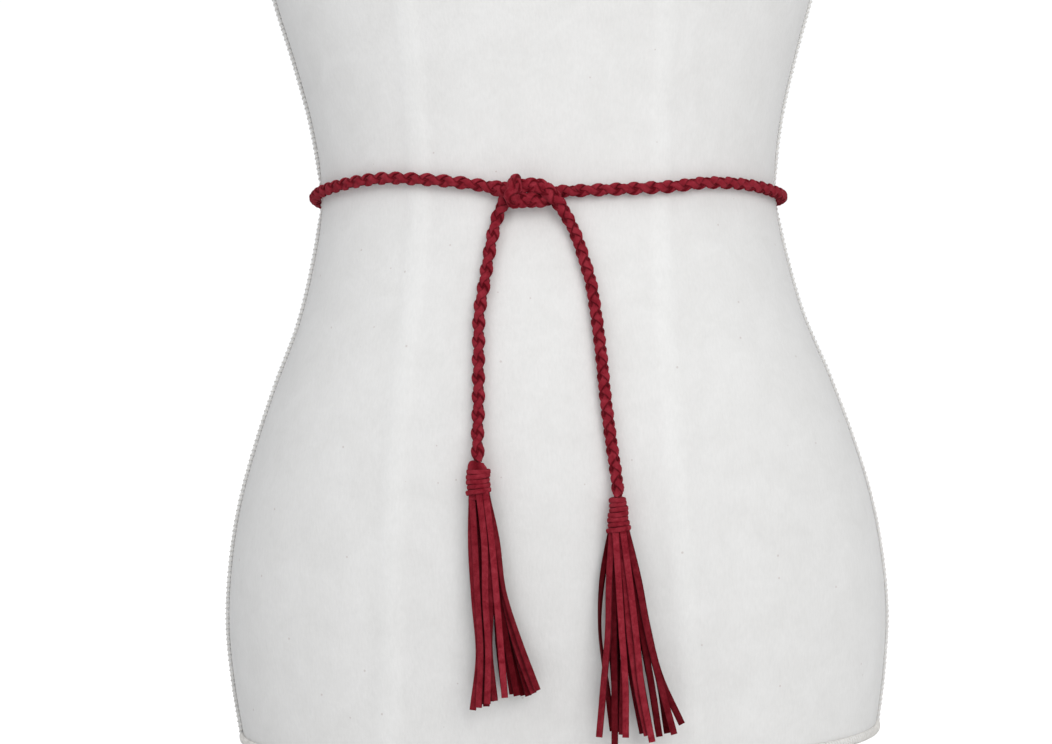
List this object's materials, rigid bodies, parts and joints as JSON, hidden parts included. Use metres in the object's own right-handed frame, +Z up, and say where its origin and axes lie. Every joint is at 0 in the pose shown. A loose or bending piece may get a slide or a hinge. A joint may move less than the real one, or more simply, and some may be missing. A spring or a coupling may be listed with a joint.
{
  "type": "tassel belt on a dress form",
  "caption": "Round braided suede cord belt with hanging strip tassels, tied in a half knot at the waist of a plain cloth-covered dress form without limbs.",
  "frame": {"origin": "middle of the dress form's flat underside, on the surface that it stands on", "axes": "+Z up along the form, -Y towards its front where the belt is knotted, +X to the right as seen from the front"},
  "size_m": [0.345, 0.2439, 0.754],
  "materials": {
    "suede_lace": "deep wine red suede, matt with a soft nap",
    "form_cover": "off-white plain cotton jersey stretched over the form, matt"
  },
  "bodies": {
    "root": {"dress_form_body": "form_cover", "tail_left": "suede_lace", "belt_knot": "suede_lace", "belt_loop": "suede_lace", "tail_right": "suede_lace", "head_wrap_left": "suede_lace", "head_wrap_right": "suede_lace", "tassel_left": "suede_lace", "tassel_right": "suede_lace"}
  },
  "joints": []
}
